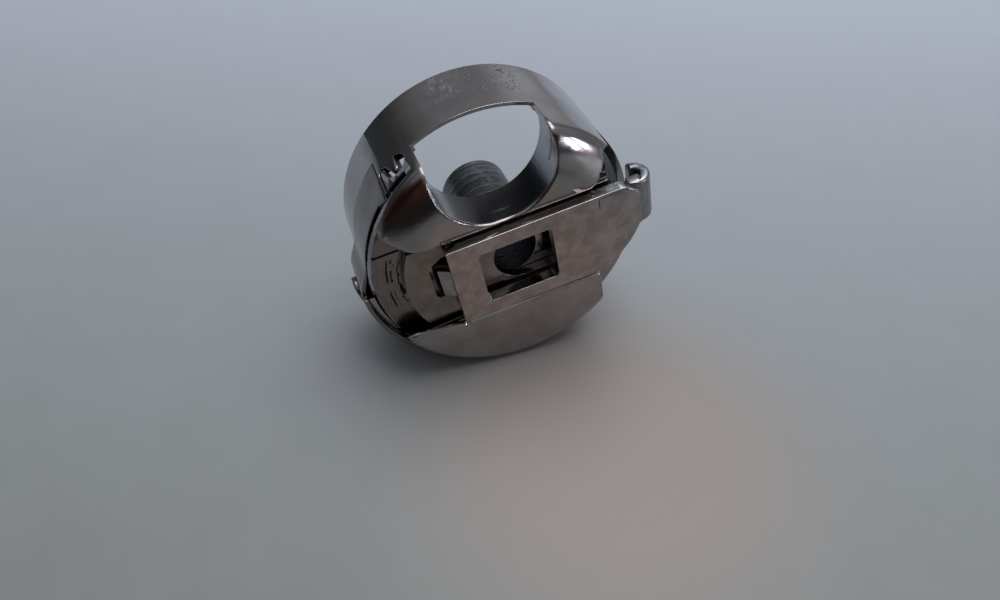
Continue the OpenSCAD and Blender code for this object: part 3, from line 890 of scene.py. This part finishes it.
@dataclass
class Latch(Dresser):
    """The lever, the slide beneath it, its hinge pin and its spring."""

    roll_from: float = 10.6
    level_within: float = 0.01

    def build(self) -> None:
        """Finishes every part of the latch."""
        rounds = ((Easing.ROLLED_END, self.on_roll), (Easing.POLISHED, every_edge))
        self.dress("latch_lever", LEVER_STEEL, "lever", rounds)
        self.dress("latch_slide", SLIDE_STEEL, "slide")
        self.dress("lever_hinge_pin", SLIDE_STEEL, "slide")
        self.coat("latch_spring", TEMPERED_STEEL)

    def on_roll(self, edge: bmesh.types.BMEdge) -> bool:
        """Takes the edges round the ends of the rolled tab.

        Args:
            edge: an edge of the lever.

        Returns:
            Whether both its ends lie on the roll and at the same height.
        """
        # Turned to the case, x runs across its face and z up to its window.
        turn = Matrix.Rotation(CASE_ROLL, 3, "Y")
        ends = [turn @ vert.co / MM for vert in edge.verts]
        level = abs(ends[0].z - ends[1].z) < self.level_within
        return level and min(end.x for end in ends) > self.roll_from


@dataclass
class Tension(Dresser):
    """The leaf spring that brakes the thread, with its two screws."""

    def build(self) -> None:
        """Finishes the leaf and its screws."""
        self.dress("tension_spring", LEAF_STEEL, "case")
        self.dress("tension_fixing_screw", SCREW_STEEL, "case")
        self.dress("tension_adjusting_screw", SCREW_STEEL, "adjuster")


# ------------------------------------------------------------------ surroundings


@dataclass(frozen=True)
class Lamp:
    """One soft panel that faces the part.

    Its bearing and elevation are in degrees; bearing 0 is in front and 90 to the right.
    """

    name: str
    bearing: float
    elevation: float
    distance_mm: float
    size_mm: tuple[float, float]
    watts: float
    colour: str

    def hang(self) -> None:
        """Adds the lamp."""
        data = bpy.data.lights.new(self.name, "AREA")
        data.shape = "RECTANGLE"
        data.size, data.size_y = (side * MM for side in self.size_mm)
        data.energy = self.watts
        data.color = linear(self.colour)[:3]
        turn, rise = math.radians(self.bearing), math.radians(self.elevation)
        level = math.cos(rise)
        way = Vector((math.sin(turn) * level, -math.cos(turn) * level, math.sin(rise)))
        lamp = bpy.data.objects.new(self.name, data)
        lamp.location = way * self.distance_mm * MM
        lamp.rotation_euler = (-way).to_track_quat("-Z", "Y").to_euler()
        bpy.context.scene.collection.objects.link(lamp)


@dataclass(frozen=True)
class Patch:
    """A differently coloured stretch of the room.

    Its angles are in degrees; bearing 0 is in front and 90 to the right.
    """

    bearings: tuple[float, float]
    rises: tuple[float, float]
    colour: str
    soft: float


@dataclass(frozen=True)
class Room:
    """The soft room that the steel mirrors: pale above and grey at its walls, with patches."""

    # The room's colour at each height, from 0 level with the part to 1 straight above it.
    heights: tuple[tuple[float, str], ...] = (
        (0.0, "#8a8886"),
        (0.35, "#838588"),
        (0.75, "#93969c"),
        (1.0, "#c4c9d1"),
    )
    # Brown in front and darker at the left; grey and pale behind; blue and pink at the right.
    patches: tuple[Patch, ...] = (
        Patch((-115, 28), (-60, 33), "#4a332c", 9),
        Patch((-92, -30), (-40, 30), "#2c1a18", 7),
        Patch((-170, -105), (-20, 24), "#3c4042", 12),
        Patch((132, 158), (4, 26), "#b4b8c0", 8),
        Patch((30, 40.5), (-16, 15), "#23254a", 1.5),
        Patch((45, 52), (-4, 1.5), "#f08c98", 1.0),
    )
    backdrop: str = "#b2b8c1"

    def build(self) -> None:
        """Surrounds the part with the room."""
        world = bpy.data.worlds.new("soft_room")
        bpy.context.scene.world = world
        world.use_nodes = True
        tree = world.node_tree
        tree.nodes.clear()
        direction = add_node(tree, "ShaderNodeTexCoord", out="Generated")
        split = add_node(tree, "ShaderNodeSeparateXYZ", {"Vector": direction}).node.outputs
        rise = add_node(tree, MATH, {0: split["Z"]}, operation="ARCSINE")
        front = add_node(tree, MATH, {0: split["Y"], 1: -1.0}, operation="MULTIPLY")
        bearing = add_node(tree, MATH, {0: split["X"], 1: front}, operation="ARCTAN2")
        tint = add_node(tree, "ShaderNodeValToRGB", {"Fac": split["Z"]})
        stops = tint.node.color_ramp.elements
        lowest, *between, highest = self.heights
        for stop, (height, colour) in zip(stops, (lowest, highest)):
            stop.position, stop.color = height, linear(colour)
        for height, colour in between:
            stops.new(height).color = linear(colour)
        for patch in self.patches:
            across = stretch(tree, bearing, (*patch.bearings, patch.soft), DEGREE)
            up = stretch(tree, rise, (*patch.rises, patch.soft), DEGREE)
            inside = fold(tree, MATH, across, up, operation="MULTIPLY")
            mixed = {"Factor": inside, FIRST: tint, SECOND: linear(patch.colour)}
            tint = add_node(tree, "ShaderNodeMix", mixed, MIXED, data_type="RGBA")
        # The camera itself sees a plain pale backdrop past the table.
        seen = add_node(tree, "ShaderNodeLightPath", out="Is Camera Ray")
        mixed = {"Factor": seen, FIRST: tint, SECOND: linear(self.backdrop)}
        tint = add_node(tree, "ShaderNodeMix", mixed, MIXED, data_type="RGBA")
        sky = add_node(tree, "ShaderNodeBackground", {"Color": tint, "Strength": 1.0})
        add_node(tree, "ShaderNodeOutputWorld", {"Surface": sky})


@dataclass
class Studio:
    """Table, camera, room and soft light."""

    table_z: float = -11.4 * MM
    table_reach: float = 1500 * MM
    camera_mm: tuple[float, float, float] = (-17.550, -49.940, 42.143)
    camera_aim: tuple[float, float, float] = (0.24305, 0.6858, -0.68607)
    lens_mm: float = 29.33
    sensor_mm: float = 36.0
    sight: tuple[float, float] = (1 * MM, 10_000 * MM)
    laminate: PaleLaminate = PaleLaminate()
    room: Room = Room()
    lamps: tuple[Lamp, ...] = (
        Lamp("ceiling_panel", 118, 75, 900, (860, 860), 7.5, "#f5f7fa"),
        Lamp("window_left_pane", 44, 9, 330, (11, 60), 0.05, "#f8f6ff"),
        Lamp("window_right_pane", 51, 10, 330, (14, 70), 0.07, "#e6ebff"),
    )

    def build(self) -> None:
        """Builds everything round the part."""
        self.build_camera()
        self.build_table()
        self.room.build()
        for lamp in self.lamps:
            lamp.hang()

    def build_camera(self) -> None:
        """Places the camera above and in front of the part."""
        data = bpy.data.cameras.new("camera")
        data.lens = self.lens_mm
        data.sensor_width = self.sensor_mm
        data.clip_start, data.clip_end = self.sight
        camera = bpy.data.objects.new("camera", data)
        camera.location = Vector(self.camera_mm) * MM
        camera.rotation_euler = Vector(self.camera_aim).to_track_quat("-Z", "Y").to_euler()
        bpy.context.scene.collection.objects.link(camera)
        bpy.context.scene.camera = camera

    def build_table(self) -> None:
        """Lays the table top that the part stands on."""
        mesh = bpy.data.meshes.new("table")
        shape = bmesh.new()
        bmesh.ops.create_grid(shape, x_segments=1, y_segments=1, size=self.table_reach)
        bmesh.ops.translate(shape, verts=shape.verts, vec=(0, 0, self.table_z))
        shape.to_mesh(mesh)
        shape.free()
        table = bpy.data.objects.new("table", mesh)
        bpy.context.scene.collection.objects.link(table)
        mesh.materials.append(self.laminate.build())


def main() -> None:
    """Builds the part and its surroundings."""
    logging.basicConfig(level=logging.INFO, format="%(message)s")
    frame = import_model()
    Studio().build()
    for assembly in (Cup(frame), Latch(frame), Tension(frame)):
        assembly.build()
    bpy.context.scene.view_settings.view_transform = "Standard"


if __name__ == "__main__":
    main()
